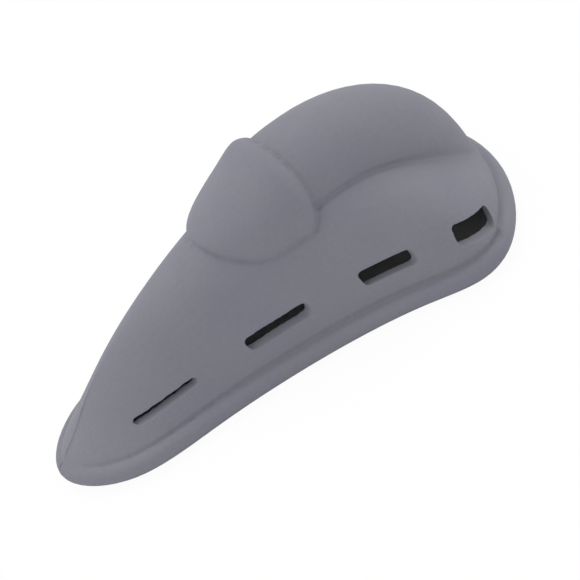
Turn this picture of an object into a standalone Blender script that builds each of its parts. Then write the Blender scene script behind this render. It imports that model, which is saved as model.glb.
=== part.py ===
"""A hollow, vented protective cup insert in soft grey elastomer.

Two half shells meet on a seam along the middle. A rounded ridge covers the back of the seam, a hooded cap
overlaps the ridge's front end, and a bead runs round the foot. Metres, +Z up, tip towards -X. The origin
lies on the floor under the middle of the foot, and stations are measured back from the tip of the bead.
"""

import math
from typing import NamedTuple

import bmesh
import bpy
import numpy as np
from mathutils import Matrix

# Overall sizes and fits
LENGTH = 0.170
WALL = 0.0028
CLEARANCE = 0.0003

# Bead round the foot
BEAD_REACH = 0.0034
BEAD_HEIGHT = 0.0070
BEAD_LEDGE = 0.0020
BEAD_SOLE = 0.0014

# Back ridge: a half-round spine that curves down to the rear of the foot, and dips to tuck under the cap
RIDGE_HALF_WIDTH = 0.0190
RIDGE_TOP = 0.0585
RIDGE_SPRING = 0.0385
RIDGE_END_HEIGHT = 0.0080
RIDGE_END_INSET = 0.0004
RIDGE_PLAN_POWER = 3.0
RIDGE_CROWN_POWER = 2.4
RIDGE_SPRING_POWER = 2.6
RIDGE_TUCK = 0.0060
RIDGE_DIP = 0.0025
RIDGE_DIP_RUN = 0.0140
SEAT_LEDGE = 0.0030

# Nose cap: a hood whose rear lip stands proud of the ridge, with a rounded edge that is an arc from the side
CAP_LIP_STATION = 0.1101
CAP_LENGTH = 0.0355
CAP_TOP_STEP = 0.0017
CAP_SIDE_STEP = 0.0028
CAP_SPRING = 0.0374
CAP_FRONT_HEIGHT = 0.0443
CAP_PLAN_POWER = 2.27
CAP_CROWN_POWER = 1.55
CAP_SPRING_POWER = 7.0
CAP_SEAT = 0.0130
LIP_RADIUS = 0.0265
LIP_HEIGHT = 0.0495
LIP_ROUND_RUN = 0.0045
LIP_TOP_DROP = 0.0021
LIP_SIDE_DROP = 0.0018

# Vent slots through each flank, tip to rear: where the slot's axis meets the middle as a share of the length,
# then height, length, width and slope. Each is turned back towards the rear by the same angle.
SLOTS = (
    (0.2039, 0.0152, 0.0220, 0.0020, 5.7),
    (0.4324, 0.0177, 0.0203, 0.0038, 2.7),
    (0.6340, 0.0175, 0.0152, 0.0051, -0.4),
    (0.7938, 0.0145, 0.0157, 0.0054, -20.2),
)
SLOT_TURN = 14.0
SLOT_CORNER = 0.0013

# Frames of the body, tip to rear. Each holds the pole of the foot line (station, half width), the rise and
# lean of the flank above it, the pole of the shoulder (station, half width, height) and the pole of the
# crest (station, height).
REAR = LENGTH - BEAD_REACH
FRAMES = (
    ((BEAD_REACH, 0.0000), (0.0040, 0.75), (0.0091, 0.0000, 0.0105), (0.0156, 0.0173)),
    ((BEAD_REACH, 0.0060), (0.0030, 1.00), (0.0106, 0.0015, 0.0120), (0.0176, 0.0193)),
    ((0.0166, 0.0223), (0.0050, 0.95), (0.0231, 0.0035, 0.0242), (0.0266, 0.0272)),
    ((0.0486, 0.0214), (0.0140, 0.25), (0.0486, 0.0095, 0.0384), (0.0486, 0.0384)),
    ((0.0886, 0.0273), (0.0200, 0.10), (0.0886, 0.0200, 0.0484), (0.0886, 0.0484)),
    ((REAR - 0.0458, 0.0366), (0.0210, 0.08), (REAR - 0.0460, 0.0240, 0.0460), (REAR - 0.0460, 0.0460)),
    ((REAR - 0.0282, 0.0474), (0.0170, 0.10), (REAR - 0.0300, 0.0260, 0.0385), (REAR - 0.0340, 0.0400)),
    ((REAR - 0.0116, 0.0398), (0.0120, 0.10), (REAR - 0.0160, 0.0200, 0.0280), (REAR - 0.0270, 0.0350)),
    ((REAR, 0.0152), (0.0060, 0.07), (REAR - 0.0100, 0.0080, 0.0210), (REAR - 0.0230, 0.0320)),
    ((REAR, 0.0000), (0.0035, 0.06), (REAR - 0.0100, 0.0000, 0.0210), (REAR - 0.0220, 0.0315)),
)

# How finely the curved surfaces are divided
FOOT_STEPS = 48
FLANK_STEPS = 13
HOOD_STEPS = 18
TUCK_STEPS = 3
ARCH_STEPS = 24
ROUND_STEPS = 4
BEAD_STEPS = 64
ROLL_STEPS = 6

# Finish: colour, roughness
GREY = (0.196, 0.196, 0.226, 1.0)
ROUGHNESS = 0.62

FOOT_HEIGHT = BEAD_LEDGE + CLEARANCE
REACH_PAST = 2.0 * LENGTH


def clear_scene():
    for thing in list(bpy.data.objects):
        bpy.data.objects.remove(thing, do_unlink=True)


def new_collection(name):
    collection = bpy.data.collections.new(name)
    bpy.context.scene.collection.children.link(collection)
    return collection


def elastomer(name):
    material = bpy.data.materials.new(name)
    material.use_nodes = True
    shader = material.node_tree.nodes["Principled BSDF"]
    shader.inputs["Base Color"].default_value = GREY
    shader.inputs["Roughness"].default_value = ROUGHNESS
    shader.inputs["Metallic"].default_value = 0.0
    material.diffuse_color = GREY
    return material


def add_part(name, mesh, collection):
    mesh.materials.append(elastomer(name + "_grey"))
    mesh.shade_smooth()
    mesh.set_sharp_from_angle(angle=math.radians(40.0))
    part = bpy.data.objects.new(name, mesh)
    collection.objects.link(part)
    return part


def add_cutter(name, mesh, collection):
    cutter = bpy.data.objects.new(name, mesh)
    cutter.hide_render = True
    cutter.display_type = "WIRE"
    collection.objects.link(cutter)
    return cutter


def boolean(part, operation, cutter):
    modifier = part.modifiers.new(cutter.name, "BOOLEAN")
    modifier.operation = operation
    modifier.solver = "EXACT"
    modifier.object = cutter


def spline_weights(count, steps):
    """Weights of a clamped cubic B-spline's poles at evenly spread places along it."""
    knots = np.concatenate((np.zeros(3), np.linspace(0.0, 1.0, count - 2), np.ones(3)))
    places = np.linspace(0.0, 1.0, steps + 1)
    spans = np.clip(np.searchsorted(knots, places, side="right") - 1, 3, count - 1)
    weights = np.zeros((steps + 1, len(knots) - 1))
    weights[np.arange(steps + 1), spans] = 1.0
    for degree in (1, 2, 3):
        for pole in range(len(knots) - 1 - degree):
            rise = knots[pole + degree] - knots[pole]
            fall = knots[pole + degree + 1] - knots[pole + 1]
            before = (places - knots[pole]) / rise if rise else 0.0
            after = (knots[pole + degree + 1] - places) / fall if fall else 0.0
            weights[:, pole] = before * weights[:, pole] + after * weights[:, pole + 1]
    return weights[:, :count]


def foot_line(steps=FOOT_STEPS):
    """Points of the wall's foot on one side, tip to rear, as station and half width, with outward normals."""
    poles = np.array([frame[0] for frame in FRAMES])
    points = spline_weights(len(FRAMES), steps) @ poles
    along = np.gradient(points, axis=0)
    along[0] = (0.0, 1.0)
    along[-1] = (0.0, -1.0)
    along /= np.linalg.norm(along, axis=1)[:, None]
    return points, np.column_stack((-along[:, 1], along[:, 0]))


def side_sections(inset):
    """Sections of one flank from foot to crest, set in from the outer skin, as rows of points per step."""
    weights = spline_weights(len(FRAMES), FOOT_STEPS)
    flank, shoulder, crest = (weights @ np.array([frame[i] for frame in FRAMES]) for i in (1, 2, 3))
    foot, outward = foot_line()
    foot = foot - outward * inset
    ahead = np.gradient(crest, axis=0)
    ahead /= np.linalg.norm(ahead, axis=1)[:, None]
    drop = np.column_stack((ahead[:, 1], np.zeros(len(ahead)), -ahead[:, 0])) * inset
    zero = np.zeros(len(foot))
    start = np.column_stack((foot, zero + BEAD_HEIGHT))
    lean = np.column_stack((-outward * flank[:, 1:], zero + 1.0)) * flank[:, :1]
    end = np.column_stack((crest[:, 0], zero, crest[:, 1])) + drop
    poles = (start, start + lean, shoulder + drop, end)
    shares = np.linspace(0.0, 1.0, FLANK_STEPS + 1)
    rows = [np.column_stack((foot, zero + FOOT_HEIGHT))]
    for share in shares:
        powers = (1.0 - share) ** 3, 3 * (1.0 - share) ** 2 * share, 3 * (1.0 - share) * share**2, share**3
        rows.append(sum(power * pole for power, pole in zip(powers, poles)))
    return np.array(rows)


def body_rings(inset, foot_height=FOOT_HEIGHT):
    """Closed rings round the body, foot to crest: down one side from tip to rear and back up the other."""
    side = side_sections(inset)
    side[0, :, 2] = foot_height
    other = side[:, -2:0:-1] * np.array((1.0, -1.0, 1.0))
    rings = np.concatenate((side, other), axis=1)
    rings[:, :, 0] -= LENGTH / 2
    return rings


def add_rings(bm, rings, closed):
    """Bridges each ring to the next with quads, and returns the rings of vertices."""
    made = [[bm.verts.new(point) for point in ring] for ring in rings]
    for lower, upper in zip(made, made[1:]):
        count = len(lower) if closed else len(lower) - 1
        for i in range(count):
            j = (i + 1) % len(lower)
            bm.faces.new((lower[i], lower[j], upper[j], upper[i]))
    return made


def finish_mesh(bm, name):
    """Welds coincident points, turns the faces outwards and returns the mesh."""
    bmesh.ops.remove_doubles(bm, verts=bm.verts, dist=1e-6)
    bmesh.ops.dissolve_degenerate(bm, edges=bm.edges, dist=1e-7)
    bmesh.ops.recalc_face_normals(bm, faces=bm.faces)
    mesh = bpy.data.meshes.new(name)
    bm.to_mesh(mesh)
    bm.free()
    return mesh


def shell_mesh():
    """The whole body as a wall of even thickness, open at the foot."""
    bm = bmesh.new()
    outer = add_rings(bm, body_rings(0.0), True)
    inner = add_rings(bm, body_rings(WALL), True)
    for i in range(len(outer[0])):
        j = (i + 1) % len(outer[0])
        bm.faces.new((outer[0][i], outer[0][j], inner[0][j], inner[0][i]))
    return finish_mesh(bm, "shell")


def body_mesh(inset, foot_height):
    """The body as a filled solid, which cuts the pieces that sit on it."""
    bm = bmesh.new()
    rings = add_rings(bm, body_rings(inset, foot_height), True)
    bm.faces.new(rings[0])
    return finish_mesh(bm, "body")


class Hood(NamedTuple):
    """Sizes of a hood from its open root to its closed end, and the powers by which it narrows and falls."""

    root: float
    end: float
    half_width: float
    top: float
    spring: float
    end_height: float
    plan_power: float
    crown_power: float
    spring_power: float


def arch_points(station, radius, spring, crown, floor=0.0):
    """A half-round arch across the body on straight legs that stand on the floor."""
    turns = np.linspace(0.0, math.pi, ARCH_STEPS + 1)
    across = np.concatenate(((-radius,), -radius * np.cos(turns), (radius,)))
    heights = np.concatenate(((floor,), spring + (crown - spring) * np.sin(turns), (floor,)))
    return np.column_stack((np.full(len(across), station - LENGTH / 2), across, heights))


def hood_section(hood, share):
    """Station, radius, spring and crown of the arch at a share of the hood's length from its root."""
    radius = hood.half_width * max(1.0 - share**hood.plan_power, 0.0) ** (1 / hood.plan_power)
    fall = max(1.0 - share**hood.crown_power, 0.0) ** (1 / hood.crown_power)
    crown = hood.end_height + (hood.top - hood.end_height) * fall
    spring = hood.end_height + (hood.spring - hood.end_height) * (1.0 - share**hood.spring_power)
    return hood.root + (hood.end - hood.root) * share, radius, spring, crown


def hood_mesh(name, outer, inner):
    """A wall between two sets of arches, open at the root and at the floor."""
    bm = bmesh.new()
    skins = [add_rings(bm, arches, False) for arches in (outer, inner)]
    edges = []
    for rings in skins:
        left = [ring[0] for ring in rings]
        right = [ring[-1] for ring in rings]
        edges.append((left, rings[0], right))
    for first, second in zip(*edges):
        for i in range(len(first) - 1):
            bm.faces.new((first[i], first[i + 1], second[i + 1], second[i]))
    return finish_mesh(bm, name)


def filled_hood(name, arches):
    """A solid hood, which cuts the piece that overlaps it."""
    bm = bmesh.new()
    rings = add_rings(bm, arches, False)
    bm.faces.new(rings[0])
    left = [ring[0] for ring in rings]
    right = [ring[-1] for ring in rings]
    bm.faces.new(left + right[-2::-1])
    return finish_mesh(bm, name)


def ridge_arches(inset):
    """The ridge's arches, which dip from behind the lip forwards to tuck under the cap."""
    ridge = Hood(
        CAP_LIP_STATION,
        REAR - RIDGE_END_INSET - inset,
        RIDGE_HALF_WIDTH - inset,
        RIDGE_TOP - inset,
        RIDGE_SPRING,
        RIDGE_END_HEIGHT,
        RIDGE_PLAN_POWER,
        RIDGE_CROWN_POWER,
        RIDGE_SPRING_POWER,
    )
    sections = []
    for share in np.linspace(1.0, 0.0, TUCK_STEPS, endpoint=False):
        station = ridge.root - (RIDGE_TUCK - inset) * share
        sections.append((station, ridge.half_width, ridge.spring, ridge.top))
    for angle in np.linspace(0.0, math.pi / 2, HOOD_STEPS + 1):
        sections.append(hood_section(ridge, math.sin(angle)))
    level = ridge.root + RIDGE_DIP_RUN
    arches = []
    for station, radius, spring, crown in sections:
        share = max(0.0, (level - station) / (RIDGE_DIP_RUN + RIDGE_TUCK))
        arches.append(arch_points(station, radius, spring, crown - RIDGE_DIP * share**2))
    return arches


def cap_arches(inset, rounding):
    """The cap's arches, bowed so that the lip is an arc from the side, and drawn in where it is rounded."""
    cap = Hood(
        CAP_LIP_STATION,
        CAP_LIP_STATION - CAP_LENGTH + inset,
        RIDGE_HALF_WIDTH + CAP_SIDE_STEP - inset,
        RIDGE_TOP + CAP_TOP_STEP - inset,
        CAP_SPRING,
        CAP_FRONT_HEIGHT,
        CAP_PLAN_POWER,
        CAP_CROWN_POWER,
        CAP_SPRING_POWER,
    )
    floor = LIP_HEIGHT - 0.9 * LIP_RADIUS
    marks = []
    for share in np.linspace(0.0, 1.0, ROUND_STEPS, endpoint=False):
        marks.append((share * LIP_ROUND_RUN / CAP_LENGTH, rounding * (1.0 - share) ** 2))
    start = math.asin(LIP_ROUND_RUN / CAP_LENGTH)
    marks += [(math.sin(angle), 0.0) for angle in np.linspace(start, math.pi / 2, HOOD_STEPS + 1)]
    arches = []
    for share, drawn_in in marks:
        station, radius, spring, crown = hood_section(cap, share)
        radius -= LIP_SIDE_DROP * drawn_in
        crown -= LIP_TOP_DROP * drawn_in
        arch = arch_points(station, radius, spring, crown, floor)
        bow = LIP_RADIUS - np.sqrt(LIP_RADIUS**2 - (arch[:, 2] - LIP_HEIGHT) ** 2)
        arch[:, 0] -= bow * (1.0 - share)
        arches.append(arch)
    return arches


def prism(name, outline, depth):
    """A closed outline drawn flat and thickened by half the depth to each side, as a mesh."""
    curve = bpy.data.curves.new(name, "CURVE")
    curve.dimensions = "2D"
    curve.fill_mode = "BOTH"
    curve.extrude = depth / 2
    line = curve.splines.new("POLY")
    line.points.add(len(outline) - 1)
    line.use_cyclic_u = True
    for point, (across, up) in zip(line.points, outline):
        point.co = (across, up, 0.0, 1.0)
    drawn = bpy.data.objects.new(name, curve)
    bm = bmesh.new()
    bm.from_mesh(bpy.data.meshes.new_from_object(drawn))
    bpy.data.objects.remove(drawn)
    return bm


def opening_mesh():
    """Upright prism under the ridge and the cap, which opens the top of the shells to their hollows."""
    half_width = RIDGE_HALF_WIDTH - WALL - SEAT_LEDGE
    front = CAP_LIP_STATION - CAP_LENGTH + CAP_SEAT
    rear = REAR - RIDGE_END_INSET - WALL - SEAT_LEDGE
    side = []
    for angle in np.linspace(-math.pi / 2, math.pi / 2, 2 * HOOD_STEPS + 1):
        share = math.sin(angle)
        end = rear if share > 0.0 else front
        station = CAP_LIP_STATION + (end - CAP_LIP_STATION) * abs(share)
        width = half_width * max(1.0 - abs(share) ** RIDGE_PLAN_POWER, 0.0) ** (1 / RIDGE_PLAN_POWER)
        side.append((station - LENGTH / 2, width))
    outline = side + [(x, -y) for x, y in side[-2:0:-1]]
    bm = prism("opening", outline, RIDGE_TOP)
    bmesh.ops.translate(bm, verts=bm.verts, vec=(0.0, 0.0, BEAD_HEIGHT + RIDGE_TOP / 2))
    return finish_mesh(bm, "opening")


def slot_mesh(side, share, height, length, width, slope):
    """A round-cornered bar from the middle out through one flank, which cuts one slot."""
    bm = bmesh.new()
    bmesh.ops.create_cube(bm, size=1.0)
    bmesh.ops.translate(bm, verts=bm.verts, vec=(0.0, 0.5, 0.0))
    bmesh.ops.scale(bm, verts=bm.verts, vec=(length, LENGTH, width))
    across = [edge for edge in bm.edges if abs(edge.verts[0].co.y - edge.verts[1].co.y) > LENGTH / 2]
    radius = min(SLOT_CORNER, 0.49 * width)
    bmesh.ops.bevel(bm, geom=across, offset=radius, segments=3, profile=0.5, affect="EDGES")
    bmesh.ops.rotate(bm, verts=bm.verts, matrix=Matrix.Rotation(math.radians(-slope), 3, "Y"))
    bmesh.ops.rotate(bm, verts=bm.verts, matrix=Matrix.Rotation(math.radians(-SLOT_TURN), 3, "Z"))
    bmesh.ops.scale(bm, verts=bm.verts, vec=(1.0, side, 1.0))
    bmesh.ops.translate(bm, verts=bm.verts, vec=((share - 0.5) * LENGTH, 0.0, height))
    return finish_mesh(bm, "slot")


def half_space_mesh(side):
    """A box on one side of the seam, set back from it by half the clearance."""
    bm = bmesh.new()
    bmesh.ops.create_cube(bm, size=REACH_PAST)
    shift = side * (REACH_PAST / 2 + CLEARANCE / 2)
    bmesh.ops.translate(bm, verts=bm.verts, vec=(0.0, shift, 0.0))
    return finish_mesh(bm, "half")


def bead_profile():
    """Section of the bead as outward distance from the wall and height: a roll with a ledge under the wall."""
    radius = BEAD_HEIGHT / 2
    roll = []
    for angle in np.linspace(math.radians(-40.0), math.radians(80.0), ROLL_STEPS + 1):
        roll.append((BEAD_REACH * math.cos(angle), radius + radius * math.sin(angle)))
    sole = [(-WALL, 0.0), (BEAD_SOLE, 0.0)]
    seat = [(CLEARANCE, BEAD_HEIGHT), (CLEARANCE, BEAD_LEDGE), (-WALL, BEAD_LEDGE)]
    return sole + roll + seat


def bead_mesh():
    """The bead's section swept round the foot, with a butt joint at the tip."""
    points, outward = foot_line(BEAD_STEPS)
    rings = []
    for side in (1.0, -1.0):
        order = range(len(points)) if side > 0.0 else range(len(points) - 2, -1, -1)
        for i in order:
            ring = []
            for reach, height in bead_profile():
                station, half = points[i] + outward[i] * reach
                ring.append((station - LENGTH / 2, side * max(half, CLEARANCE / 2), height))
            rings.append(ring)
    bm = bmesh.new()
    made = add_rings(bm, [ring + ring[:1] for ring in rings], False)
    for ring in (made[0], made[-1]):
        bm.faces.new(ring[:-1])
    return finish_mesh(bm, "bead")


def build():
    clear_scene()
    parts = new_collection("protective_cup_insert")
    cutters = new_collection("cutters")
    cutters.hide_render = True

    body = add_cutter("body_cutter", body_mesh(-CLEARANCE, -BEAD_HEIGHT), cutters)
    ridge_room = add_cutter("ridge_cutter", filled_hood("ridge_room", ridge_arches(-CLEARANCE)), cutters)
    opening = add_cutter("opening_cutter", opening_mesh(), cutters)

    for name, side in (("left_shell", -1.0), ("right_shell", 1.0)):
        half = add_cutter(name + "_half", half_space_mesh(side), cutters)
        shell = add_part(name, shell_mesh(), parts)
        boolean(shell, "INTERSECT", half)
        boolean(shell, "DIFFERENCE", opening)
        for i, slot in enumerate(SLOTS):
            bar = add_cutter(f"{name}_slot_{i + 1}", slot_mesh(side, *slot), cutters)
            boolean(shell, "DIFFERENCE", bar)

    ridge = add_part("back_ridge", hood_mesh("ridge", ridge_arches(0.0), ridge_arches(WALL)), parts)
    boolean(ridge, "DIFFERENCE", body)

    cap = add_part("nose_cap", hood_mesh("cap", cap_arches(0.0, 1.0), cap_arches(CAP_SIDE_STEP, 0.0)), parts)
    boolean(cap, "DIFFERENCE", body)
    boolean(cap, "DIFFERENCE", ridge_room)

    add_part("rim_bead", bead_mesh(), parts)


build()
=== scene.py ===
import math

import bmesh
import bpy
import numpy as np
from mathutils import Matrix, Vector
from mathutils.bvhtree import BVHTree


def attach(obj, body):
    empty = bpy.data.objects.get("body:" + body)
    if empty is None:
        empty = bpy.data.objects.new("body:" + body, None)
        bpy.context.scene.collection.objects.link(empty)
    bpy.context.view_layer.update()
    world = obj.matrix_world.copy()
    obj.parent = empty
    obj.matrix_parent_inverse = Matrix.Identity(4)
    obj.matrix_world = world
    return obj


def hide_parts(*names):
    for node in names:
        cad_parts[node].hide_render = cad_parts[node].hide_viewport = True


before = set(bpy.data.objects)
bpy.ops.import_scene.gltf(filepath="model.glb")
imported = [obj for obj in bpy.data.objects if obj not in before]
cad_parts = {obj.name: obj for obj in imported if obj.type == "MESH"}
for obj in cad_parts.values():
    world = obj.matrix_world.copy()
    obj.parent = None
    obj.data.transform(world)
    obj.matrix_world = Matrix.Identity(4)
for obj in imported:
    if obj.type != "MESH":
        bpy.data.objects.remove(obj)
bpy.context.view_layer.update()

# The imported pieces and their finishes
SLOT_OF = {
    "left_shell": "shell",
    "right_shell": "shell",
    "back_ridge": "ridge",
    "nose_cap": "cap",
    "rim_bead": "bead",
}

# The soft skin that is cast over them: how far each kind of piece is swollen to close the joints,
# the most that a sharp edge may stretch that, the cell of the casting, how far off a piece is
# looked for, how close points are welded, and the passes that smooth the skin and its grooves
SWELL = {"shell": 0.00038, "ridge": 0.00038, "cap": 0.00038, "bead": 0.00070}
SHARPEST = 1.5
CELL = 0.0005
NEAR = 0.0040
WELD = 1e-6
EDGE_PASSES = 2
JOINT_PASSES = 10
CREASE_PASSES = 16
CREASE_FULL = 0.00015
GROOVE_PASSES = 2

# Joints of the pieces: half width, how far each is fused and softened, how deep it is drawn in,
# and the share of that depth which it gets even where the pieces meet without a hollow
JOINTS = (
    ("shell", "bead", 0.0006, 1.0, 0.0, 0.0019, 1.0),
    ("shell", "cap", 0.0009, 1.0, 0.0, 0.0009, 0.3),
    ("shell", "ridge", 0.0011, 1.0, 0.6, 0.0012, 0.0),
    ("ridge", "cap", 0.0010, 0.0, 0.0, 0.0012, 0.8),
    ("ridge", "bead", 0.0050, 1.0, 1.0, 0.0, 0.0),
)

# The ridge's joint is crisp from the lip back and fades out before the rear
FADE_FROM = 0.0480
FADE_RUN = 0.0260

# The vents: place along the part, height, length, width, slope, how far the lower edge is drawn
# down outside, and how far it is lifted inside
VENTS = (
    (-0.0503, 0.0152, 0.0220, 0.0020, 5.7, 0.0006, 0.0006),
    (-0.0115, 0.0177, 0.0203, 0.0038, 2.7, 0.0014, 0.0004),
    (0.0228, 0.0175, 0.0152, 0.0051, -0.4, 0.0003, 0.0),
    (0.0499, 0.0145, 0.0157, 0.0054, -20.2, 0.0017, 0.0),
)

# The vents' turn in plan, the wall that they cut, and how the moves of their edges are blended
VENT_TURN = 14.0
VENT_DEPTH = 0.0045
VENT_MARGIN = 0.0030
VENT_CORNER = 0.0014
VENT_BLEND = 0.8
VENT_FADE = 3.0
VENT_STEPS = 9
OUTSIDE = 0.1

# The moulding's parting line up the nose, and the butt joint of the bead below it
TIP = -0.0850
BEAD_TOP = 0.0070
LINE_HALF_WIDTH = 0.00045
LINE_RISE = 0.00040
LINE_RUN = 0.0330
LINE_END = TIP + LINE_RUN
LINE_FADE = 2.0
LINE_START = 0.0020
BUTT_DEPTH = 0.0013
BUTT_STEEPNESS = 4.0
FACING_OUT = 0.2
ON_LINE = 1e-5

# Grooves stay shallow at the tip and stop short of the parting line
TIP_CALM = 0.75
TIP_RUN = 0.0050
CALM_END = TIP + 2.0 * TIP_RUN
SEAM_RUN = 0.0012

# Where the hood is pressed to its outline: the place, the move there, and how far the move reaches
PRESSES = (
    ((0.0220, 0.0070, 0.0575), (-0.0022, 0.0, 0.0009), 0.0150),
    ((0.0045, 0.0080, 0.0530), (0.0003, -0.0002, -0.0006), 0.0140),
    ((0.0045, -0.0080, 0.0530), (0.0003, 0.0002, -0.0006), 0.0140),
    ((0.0205, 0.0211, 0.0376), (0.0003, 0.0008, -0.0012), 0.0070),
    ((0.0205, -0.0211, 0.0376), (0.0003, -0.0008, -0.0012), 0.0070),
)

# The photograph's camera: turn, height and roll in degrees, then metres, and the lens in pixels
TURN = 8.45
HEIGHT = 39.0
ROLL = 32.3796
DISTANCE = 0.79265
ASIDE = -0.0072311
UP = -0.0052697
FOCUS = 2500.0
IMAGE_SIDE = 580.0
SENSOR = 36.0
NEAR_CLIP = 0.01
FAR_CLIP = 20.0

# The matte elastomer: the cool and the warm grey of each finish, and where its clouds start
FINISHES = {
    "shell": ((0.203, 0.203, 0.248), (0.214, 0.215, 0.245), 0.0),
    "ridge": ((0.203, 0.204, 0.247), (0.215, 0.216, 0.245), 0.4),
    "cap": ((0.204, 0.206, 0.248), (0.215, 0.218, 0.246), 0.9),
    "bead": ((0.203, 0.203, 0.248), (0.214, 0.215, 0.246), 1.3),
}
SHIFT_WAY = (1.0, 0.37, -0.61)
REFRACTION = 1.45
SHINE = 0.2

# Its patterns: scale, detail and roughness of each noise, and the spans that they are spread over
CLOUDS = (34.0, 2.0, 0.5)
SPECKS = (900.0, 4.0, 0.6)
GLOSS = (120.0, 3.0, 0.55)
GRAIN = (2600.0, 3.0, 0.6)
CLOUD_SPAN = (0.32, 0.68)
NOISE_SPAN = (0.3, 0.7)
SPECK_SPAN = (0.965, 1.035)
GLOSS_SPAN = (0.60, 0.76)
GRAIN_STRENGTH = 0.10
GRAIN_DEPTH = 0.0001

# The stage: how much of the page shows over the floor's shadow, the room's light, the soft boxes
# with their places and watts, the floor, and a grey sheet of painted shade in the hollow
PAGE_SHARE = 0.95
ROOM_LIGHT = 0.77
WHITE = (1.0, 1.0, 1.0, 1.0)
LAMPS = (
    ("back_box", (0.0, 0.68, 1.45), 9.8),
    ("front_box", (-1.54, 0.0, 0.42), 3.2),
    ("rear_box", (1.56, 0.0, 0.34), 5.0),
)
LAMP_SIDE = 0.9
LAMP_AIM = (0.0, 0.0, 0.02)
FLOOR_RADIUS = 3.0
FLOOR_SIDES = 64
FLOOR_HEIGHT = -0.0004
FLOOR_GREY = (0.86, 0.86, 0.86, 1.0)
# The sheet of painted shade in the hollow: its height, its gap to the bead, its steps round, and
# its grey, which is darker than the floor's and stands in for the floor's shade there
SHADE_SHEET_HEIGHT = 0.0005
SHADE_SHEET_GAP = 0.0002
SHADE_SHEET_STEPS = 72
SHADE_SHEET_GREY = (0.50, 0.50, 0.52, 1.0)


def welded(node):
    """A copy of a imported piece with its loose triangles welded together."""
    bm = bmesh.new()
    bm.from_mesh(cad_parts[node].data)
    bmesh.ops.remove_doubles(bm, verts=bm.verts, dist=WELD)
    bm.normal_update()
    return bm


def piece_trees():
    """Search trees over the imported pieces."""
    trees = {}
    for name in SLOT_OF:
        copy = welded(name)
        trees[name] = BVHTree.FromBMesh(copy)
        copy.free()
    return trees


def swollen_pieces():
    """All the pieces in one mesh, swollen until the joints between them close."""
    casting = bmesh.new()
    for node in SLOT_OF:
        bm = welded(node)
        swell = SWELL[SLOT_OF[node]]
        for vert in bm.verts:
            vert.co += vert.normal * swell * min(vert.calc_shell_factor(), SHARPEST)
        swollen = bpy.data.meshes.new("swollen")
        bm.to_mesh(swollen)
        bm.free()
        casting.from_mesh(swollen)
        bpy.data.meshes.remove(swollen)
    mesh = bpy.data.meshes.new("casting")
    casting.to_mesh(mesh)
    casting.free()
    return mesh


def eased(share):
    """A share held between 0 and 1, with a soft start and a soft end."""
    share = np.clip(share, 0.0, 1.0)
    return share * share * (3.0 - 2.0 * share)


def nearest_pieces(trees, place):
    """Gap to each kind of piece near a place, and the nearest point of that kind."""
    near = {kind: (NEAR, place) for kind in SLOT_OF.values()}
    for name, tree in trees.items():
        point, _, _, gap = tree.find_nearest(place, NEAR)
        kind = SLOT_OF[name]
        if point is not None and gap < near[kind][0]:
            near[kind] = (gap, point)
    return near


def joint_shares(gaps, x, y):
    """How far each point is fused, softened and drawn in at a joint, and where a groove is cut."""
    fade = eased((x - FADE_FROM) / FADE_RUN)
    joint, soft, crease, groove = np.zeros((4, len(x)))
    calm = TIP_CALM * eased((CALM_END - x) / TIP_RUN)
    calm = np.maximum(calm, eased(1.0 - (np.abs(y) - LINE_HALF_WIDTH) / SEAM_RUN))
    for first, second, width, fused, softness, depth, open_share in JOINTS:
        apart = np.maximum(gaps[first] - SWELL[first], gaps[second] - SWELL[second])
        share = eased(1.0 - apart / width)
        kept = 1.0 - fade if second == "ridge" else 1.0
        faded = fade if second == "ridge" else 1.0
        joint = np.maximum(joint, fused * share)
        soft = np.maximum(soft, softness * faded * share)
        crease = np.maximum(crease, depth * kept * share)
        groove = np.maximum(groove, open_share * share)
        if not depth:
            calm = np.maximum(calm, share)
    crease = crease * (1.0 - calm)
    return joint[:, None], soft[:, None], crease[:, None], groove[:, None]


def softened(places, edges, passes, weights):
    """Values of the points after passes in which each moves half way to its neighbours' mean."""
    count = len(places)
    ends = np.bincount(edges.ravel(), minlength=count)
    for _ in range(passes):
        means = np.empty_like(places)
        for axis in range(places.shape[1]):
            values = places[:, axis]
            total = np.bincount(edges[:, 0], values[edges[:, 1]], count)
            total += np.bincount(edges[:, 1], values[edges[:, 0]], count)
            means[:, axis] = total / ends
        places = places + 0.5 * weights * (means - places)
    return places


def read_points(mesh):
    """The points of a mesh and their normals."""
    places = np.empty(3 * len(mesh.vertices))
    normals = np.empty(3 * len(mesh.vertices))
    mesh.vertices.foreach_get("co", places)
    mesh.vertices.foreach_get("normal", normals)
    return places.reshape(-1, 3), normals.reshape(-1, 3)


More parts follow.
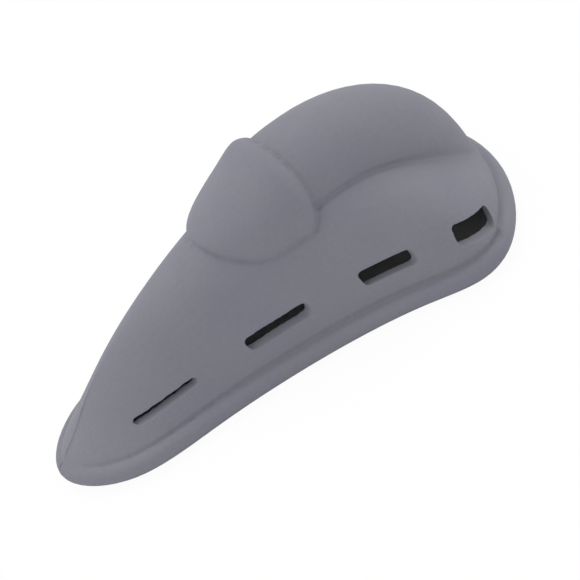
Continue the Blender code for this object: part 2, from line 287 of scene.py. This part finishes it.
def draw_down_vents(places, trees):
    """Draws each vent's lower edge down outside and lifts it inside, to light its lower wall."""
    for shell, side in (("left_shell", -1.0), ("right_shell", 1.0)):
        mirror = Matrix.Diagonal((1.0, side, 1.0))
        for x, height, length, width, slope, drop, lift in VENTS:
            turn = mirror @ Matrix.Rotation(math.radians(-VENT_TURN), 3, "Z")
            turn = turn @ Matrix.Rotation(math.radians(-slope), 3, "Y")
            along, out, rise = (turn.col[axis] for axis in range(3))
            middle = Vector((x, 0.0, height))
            rows = []
            for step in range(VENT_STEPS):
                run = (step / (VENT_STEPS - 1) - 0.5) * length
                start = middle + run * along - (width / 2 + drop) * rise + OUTSIDE * out
                hit, normal, _, _ = trees[shell].ray_cast(start, -out)
                rows.append((run, (hit - middle).dot(out), *normal))
            rows = np.array(rows)
            normal = Vector(rows[:, 2:].mean(axis=0)).normalized()
            down = (rise.dot(normal) * normal - rise).normalized()
            apart = places - np.array(middle)
            run = apart @ np.array(along)
            low = -(apart @ np.array(rise))
            deep = apart @ np.array(out) - np.interp(run, rows[:, 0], rows[:, 1])
            inside = np.clip(-deep / VENT_DEPTH, 0.0, 1.0)
            in_wall = np.abs(deep + VENT_DEPTH / 2) < VENT_DEPTH / 2 + VENT_MARGIN
            share = in_wall.astype(float)
            share *= eased((length / 2 + VENT_CORNER / 2 - np.abs(run)) / VENT_CORNER)
            share *= eased((low - width / 2) / min(VENT_CORNER, VENT_BLEND * width) + 1.0)
            share *= np.clip(1.0 - (low - width / 2) / (VENT_FADE * drop), 0.0, 1.0)
            share *= drop * (1.0 - inside) - lift * inside
            places = places + share[:, None] * np.array(down)
    return places


def cast_skin(trees):
    """One skin over all the pieces: cast in small cells, laid on them, drawn in at the joints."""
    pattern = bpy.data.objects.new("casting", swollen_pieces())
    bpy.context.scene.collection.objects.link(pattern)
    cells = pattern.modifiers.new("cells", "REMESH")
    cells.mode = "VOXEL"
    cells.voxel_size = CELL
    cast = pattern.evaluated_get(bpy.context.evaluated_depsgraph_get())
    mesh = bpy.data.meshes.new_from_object(cast)
    bpy.data.objects.remove(pattern)

    places, normals = read_points(mesh)
    laid = np.empty_like(places)
    gaps = {kind: np.empty(len(places)) for kind in SLOT_OF.values()}
    for vert in mesh.vertices:
        near = nearest_pieces(trees, vert.co)
        laid[vert.index] = min(near.values(), key=lambda found: found[0])[1]
        for kind, (gap, _) in near.items():
            gaps[kind][vert.index] = gap
    joint, soft, crease, groove = joint_shares(gaps, places[:, 0], places[:, 1])
    over = np.array([gaps[kind] - SWELL[kind] for kind in SWELL])
    back = np.array(list(SWELL.values()))[over.argmin(axis=0)][:, None]
    places = draw_down_vents(laid + joint * (places - back * normals - laid), trees)
    edges = np.empty(2 * len(mesh.edges), dtype=np.int32)
    mesh.edges.foreach_get("vertices", edges)
    edges = edges.reshape(-1, 2)
    places = softened(places, edges, EDGE_PASSES, 1.0)
    places = softened(places, edges, JOINT_PASSES, soft)
    mesh.vertices.foreach_set("co", places.ravel())
    mesh.update()
    places, normals = read_points(mesh)
    filled = softened(places, edges, CREASE_PASSES, 1.0)
    hollow = np.sum((filled - places) * normals, axis=1, keepdims=True) / CREASE_FULL
    drawn = crease * np.maximum(hollow.clip(0.0, 1.0), groove)
    places = places - softened(drawn, edges, GROOVE_PASSES, 1.0) * normals
    mesh.vertices.foreach_set("co", places.ravel())
    skin = bmesh.new()
    skin.from_mesh(mesh)
    bpy.data.meshes.remove(mesh)
    skin.normal_update()
    return skin


def keep_largest(bm):
    """Drops closed pockets that the casting left inside the joints."""
    unseen = set(bm.verts)
    islands = []
    while unseen:
        front = [unseen.pop()]
        island = list(front)
        while front:
            vert = front.pop()
            for edge in vert.link_edges:
                other = edge.other_vert(vert)
                if other in unseen:
                    unseen.discard(other)
                    front.append(other)
                    island.append(other)
        islands.append(island)
    islands.sort(key=len)
    for island in islands[:-1]:
        bmesh.ops.delete(bm, geom=island, context="VERTS")


def cut_line(bm, offset, faces):
    """Cuts the given faces along an upright plane beside the middle."""
    edges = dict.fromkeys(edge for face in faces for edge in face.edges)
    verts = dict.fromkeys(vert for face in faces for vert in face.verts)
    geom = [*faces, *edges, *verts]
    place, across = (0.0, offset, 0.0), (0.0, 1.0, 0.0)
    bmesh.ops.bisect_plane(bm, geom=geom, dist=WELD, plane_co=place, plane_no=across)


def draw_parting_line(bm):
    """Raises the fine parting line up the nose and sinks the bead's butt joint at the tip."""
    cut_line(bm, 0.0, list(bm.faces))
    for offset in (-LINE_HALF_WIDTH, LINE_HALF_WIDTH):
        nose = [face for face in bm.faces if face.calc_center_median().x < LINE_END]
        cut_line(bm, offset, nose)
    bm.normal_update()
    moves = []
    for vert in bm.verts:
        outside = vert.normal.z - vert.normal.x > FACING_OUT
        if abs(vert.co.y) < ON_LINE and vert.co.x < LINE_END and outside:
            above = (vert.co.z - BEAD_TOP) / LINE_START
            if above < 0.0:
                rise = -BUTT_DEPTH * min(1.0, -BUTT_STEEPNESS * above)
            else:
                fade = (LINE_END - vert.co.x) / LINE_RUN
                rise = LINE_RISE * min(1.0, above, LINE_FADE * fade)
            moves.append((vert, rise * vert.normal))
    for vert, move in moves:
        vert.co += move
    bm.normal_update()


def mark_pieces(bm, trees):
    """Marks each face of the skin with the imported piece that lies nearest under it."""
    names = list(SLOT_OF)
    mark = bm.faces.layers.int.new("piece")
    for face in bm.faces:
        centre = face.calc_center_median()
        shell = "left_shell" if centre.y < 0.0 else "right_shell"
        near = {}
        for name in (shell, "back_ridge", "nose_cap", "rim_bead"):
            gap = trees[name].find_nearest(centre, NEAR)[3]
            near[name] = NEAR if gap is None else gap
        face[mark] = names.index(min(near, key=near.get))


def press_hood(bm):
    """Presses the hood's lip, brow and lower corners to their outline."""
    for place, move, reach in PRESSES:
        place, move = Vector(place), Vector(move)
        for vert in bm.verts:
            apart = (vert.co - place).length
            if apart < reach:
                vert.co += float(eased(1.0 - apart / reach)) * move
    bm.normal_update()


def split_piece(bm, name, code, finish):
    """One piece of the skin, closed across its joints, with the shading of the whole skin."""
    piece = bm.copy()
    mark = piece.faces.layers.int["piece"]
    others = [face for face in piece.faces if face[mark] != code]
    bmesh.ops.delete(piece, geom=others, context="FACES")
    piece.faces.layers.int.remove(mark)
    rims = [edge for edge in piece.edges if edge.is_boundary]
    bmesh.ops.bridge_loops(piece, edges=rims)
    shading = piece.verts.layers.float_vector["shading"]
    normals = [vert[shading].copy() for vert in piece.verts]
    piece.verts.layers.float_vector.remove(shading)
    mesh = bpy.data.meshes.new(name + "_skin")
    piece.to_mesh(mesh)
    piece.free()
    mesh.shade_smooth()
    mesh.normals_split_custom_set_from_vertices(normals)
    mesh.materials.append(finish)
    obj = bpy.data.objects.new(name + "_skin", mesh)
    bpy.context.scene.collection.objects.link(obj)
    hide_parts(name)
    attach(obj, "root")


def moulded_grey(name, cool, warm, shift):
    """Matte grey elastomer: cloudy tone, uneven dull gloss and the fine grain of a mould's face."""
    material = bpy.data.materials.new(name)
    material.use_nodes = True
    tree = material.node_tree
    shader = tree.nodes["Principled BSDF"]
    shader.inputs["Metallic"].default_value = 0.0
    shader.inputs["IOR"].default_value = REFRACTION
    shader.inputs["Specular IOR Level"].default_value = SHINE
    place = tree.nodes.new("ShaderNodeTexCoord")
    mapping = tree.nodes.new("ShaderNodeMapping")
    mapping.inputs["Location"].default_value = [shift * way for way in SHIFT_WAY]
    tree.links.new(place.outputs["Object"], mapping.inputs["Vector"])

    def noise(scale, detail, roughness):
        node = tree.nodes.new("ShaderNodeTexNoise")
        node.inputs["Scale"].default_value = scale
        node.inputs["Detail"].default_value = detail
        node.inputs["Roughness"].default_value = roughness
        tree.links.new(mapping.outputs["Vector"], node.inputs["Vector"])
        return node.outputs["Fac"]

    def spread(value, span):
        node = tree.nodes.new("ShaderNodeMapRange")
        node.inputs["From Min"].default_value = NOISE_SPAN[0]
        node.inputs["From Max"].default_value = NOISE_SPAN[1]
        node.inputs["To Min"].default_value = span[0]
        node.inputs["To Max"].default_value = span[1]
        tree.links.new(value, node.inputs["Value"])
        return node.outputs["Result"]

    cloud = tree.nodes.new("ShaderNodeValToRGB")
    for stop, position, grey in zip(cloud.color_ramp.elements, CLOUD_SPAN, (cool, warm)):
        stop.position = position
        stop.color = (*grey, 1.0)
    tree.links.new(noise(*CLOUDS), cloud.inputs["Fac"])
    colour = tree.nodes.new("ShaderNodeVectorMath")
    colour.operation = "SCALE"
    tree.links.new(cloud.outputs["Color"], colour.inputs[0])
    tree.links.new(spread(noise(*SPECKS), SPECK_SPAN), colour.inputs["Scale"])
    tree.links.new(colour.outputs["Vector"], shader.inputs["Base Color"])
    tree.links.new(spread(noise(*GLOSS), GLOSS_SPAN), shader.inputs["Roughness"])

    grain = tree.nodes.new("ShaderNodeBump")
    grain.inputs["Strength"].default_value = GRAIN_STRENGTH
    grain.inputs["Distance"].default_value = GRAIN_DEPTH
    tree.links.new(noise(*GRAIN), grain.inputs["Height"])
    tree.links.new(grain.outputs["Normal"], shader.inputs["Normal"])
    return material


def page_share(tree):
    """1 for rays from the camera, reflected or let through, which see a white page, and else 0."""
    path = tree.nodes.new("ShaderNodeLightPath")
    seen = tree.nodes.new("ShaderNodeMath")
    seen.operation = "MAXIMUM"
    tree.links.new(path.outputs["Is Camera Ray"], seen.inputs[0])
    tree.links.new(path.outputs["Is Glossy Ray"], seen.inputs[1])
    also = tree.nodes.new("ShaderNodeMath")
    also.operation = "MAXIMUM"
    tree.links.new(seen.outputs["Value"], also.inputs[0])
    tree.links.new(path.outputs["Is Transmission Ray"], also.inputs[1])
    return also.outputs["Value"]


def light_room():
    """Even white room light, which the camera sees as a white page."""
    world = bpy.data.worlds.new("studio")
    bpy.context.scene.world = world
    world.use_nodes = True
    tree = world.node_tree
    tree.nodes.clear()
    room = tree.nodes.new("ShaderNodeBackground")
    room.inputs["Color"].default_value = WHITE
    room.inputs["Strength"].default_value = ROOM_LIGHT
    page = tree.nodes.new("ShaderNodeBackground")
    page.inputs["Color"].default_value = WHITE
    page.inputs["Strength"].default_value = 1.0
    mix = tree.nodes.new("ShaderNodeMixShader")
    out = tree.nodes.new("ShaderNodeOutputWorld")
    tree.links.new(page_share(tree), mix.inputs["Fac"])
    tree.links.new(room.outputs["Background"], mix.inputs[1])
    tree.links.new(page.outputs["Background"], mix.inputs[2])
    tree.links.new(mix.outputs["Shader"], out.inputs["Surface"])


def soft_lamp(name, place, power):
    """A square soft box that faces the middle of the part."""
    lamp = bpy.data.lights.new(name, "AREA")
    lamp.shape = "SQUARE"
    lamp.size = LAMP_SIDE
    lamp.energy = power
    obj = bpy.data.objects.new(name, lamp)
    obj.location = place
    aim = Vector(LAMP_AIM) - Vector(place)
    obj.rotation_euler = aim.to_track_quat("-Z", "Y").to_euler()
    bpy.context.scene.collection.objects.link(obj)


def lay_floor():
    """A wide pale floor that shows as the white page with a trace of the part's shadow."""
    bm = bmesh.new()
    bmesh.ops.create_circle(bm, cap_ends=True, segments=FLOOR_SIDES, radius=FLOOR_RADIUS)
    bmesh.ops.translate(bm, verts=bm.verts, vec=(0.0, 0.0, FLOOR_HEIGHT))
    mesh = bpy.data.meshes.new("floor")
    bm.to_mesh(mesh)
    bm.free()
    material = bpy.data.materials.new("pale_floor")
    material.use_nodes = True
    tree = material.node_tree
    tree.nodes.clear()
    paint = tree.nodes.new("ShaderNodeBsdfDiffuse")
    paint.inputs["Color"].default_value = FLOOR_GREY
    page = tree.nodes.new("ShaderNodeEmission")
    page.inputs["Color"].default_value = WHITE
    page.inputs["Strength"].default_value = 1.0
    share = tree.nodes.new("ShaderNodeMath")
    share.operation = "MULTIPLY"
    share.inputs[1].default_value = PAGE_SHARE
    tree.links.new(page_share(tree), share.inputs[0])
    mix = tree.nodes.new("ShaderNodeMixShader")
    out = tree.nodes.new("ShaderNodeOutputMaterial")
    tree.links.new(share.outputs["Value"], mix.inputs["Fac"])
    tree.links.new(paint.outputs["BSDF"], mix.inputs[1])
    tree.links.new(page.outputs["Emission"], mix.inputs[2])
    tree.links.new(mix.outputs["Shader"], out.inputs["Surface"])
    mesh.materials.append(material)
    floor = bpy.data.objects.new("floor", mesh)
    bpy.context.scene.collection.objects.link(floor)


def lay_shade_sheet(tree):
    """A plain grey sheet within the bead, so that the page does not shine up through the vents: it
    takes real light, and its grey, darker than the floor's, is painted shade for the shaded floor
    under the hollow.
    """
    bm = bmesh.new()
    rim = []
    for step in range(SHADE_SHEET_STEPS):
        angle = math.tau * (step + 0.5) / SHADE_SHEET_STEPS
        way = Vector((math.cos(angle), math.sin(angle), 0.0))
        hit = tree.ray_cast(Vector((0.0, 0.0, SHADE_SHEET_HEIGHT)), way)[0]
        rim.append(bm.verts.new(hit - SHADE_SHEET_GAP * way))
    bm.faces.new(rim)
    mesh = bpy.data.meshes.new("shade_sheet")
    bm.to_mesh(mesh)
    bm.free()
    material = bpy.data.materials.new("painted_shade_sheet")
    material.use_nodes = True
    shader = material.node_tree.nodes["Principled BSDF"]
    # Painted shade: a grey darker than the floor's, standing in for the shaded floor under the
    # hollow
    shader.inputs["Base Color"].default_value = SHADE_SHEET_GREY
    shader.inputs["Roughness"].default_value = 1.0
    mesh.materials.append(material)
    shade_sheet = bpy.data.objects.new("shade_sheet", mesh)
    bpy.context.scene.collection.objects.link(shade_sheet)


def set_camera():
    """The photograph's camera, which looks down on the left flank and is rolled to the right."""
    turn, height, roll = (math.radians(angle) for angle in (TURN, HEIGHT, ROLL))
    level = Vector((math.cos(turn), -math.sin(turn), 0.0))
    ahead = Vector((math.sin(turn), math.cos(turn), 0.0))
    upright = Vector((0.0, 0.0, 1.0))
    back = upright * math.sin(height) - ahead * math.cos(height)
    rise = upright * math.cos(height) + ahead * math.sin(height)
    right = level * math.cos(roll) - rise * math.sin(roll)
    top = level * math.sin(roll) + rise * math.cos(roll)
    camera = bpy.data.cameras.new("photo_camera")
    camera.sensor_fit = "HORIZONTAL"
    camera.sensor_width = SENSOR
    camera.lens = SENSOR * FOCUS / IMAGE_SIDE
    camera.clip_start = NEAR_CLIP
    camera.clip_end = FAR_CLIP
    obj = bpy.data.objects.new("photo_camera", camera)
    bpy.context.scene.collection.objects.link(obj)
    place = back * DISTANCE - level * ASIDE - rise * UP
    facing = Matrix((right, top, back)).transposed().to_4x4()
    obj.matrix_world = Matrix.Translation(place) @ facing
    bpy.context.scene.camera = obj


trees = piece_trees()
skin = cast_skin(trees)
keep_largest(skin)
draw_parting_line(skin)
mark_pieces(skin, trees)
press_hood(skin)
shading = skin.verts.layers.float_vector.new("shading")
for vert in skin.verts:
    vert[shading] = vert.normal
finishes = {}
for slot, (cool, warm, shift) in FINISHES.items():
    finishes[slot] = moulded_grey(slot + "_grey", cool, warm, shift)
for code, name in enumerate(SLOT_OF):
    split_piece(skin, name, code, finishes[SLOT_OF[name]])
skin.free()

light_room()
for name, place, power in LAMPS:
    soft_lamp(name, place, power)
lay_floor()
# Painted shade: a darker grey sheet laid over the floor under the hollow
lay_shade_sheet(trees["rim_bead"])
set_camera()
bpy.context.scene.view_settings.view_transform = "Standard"
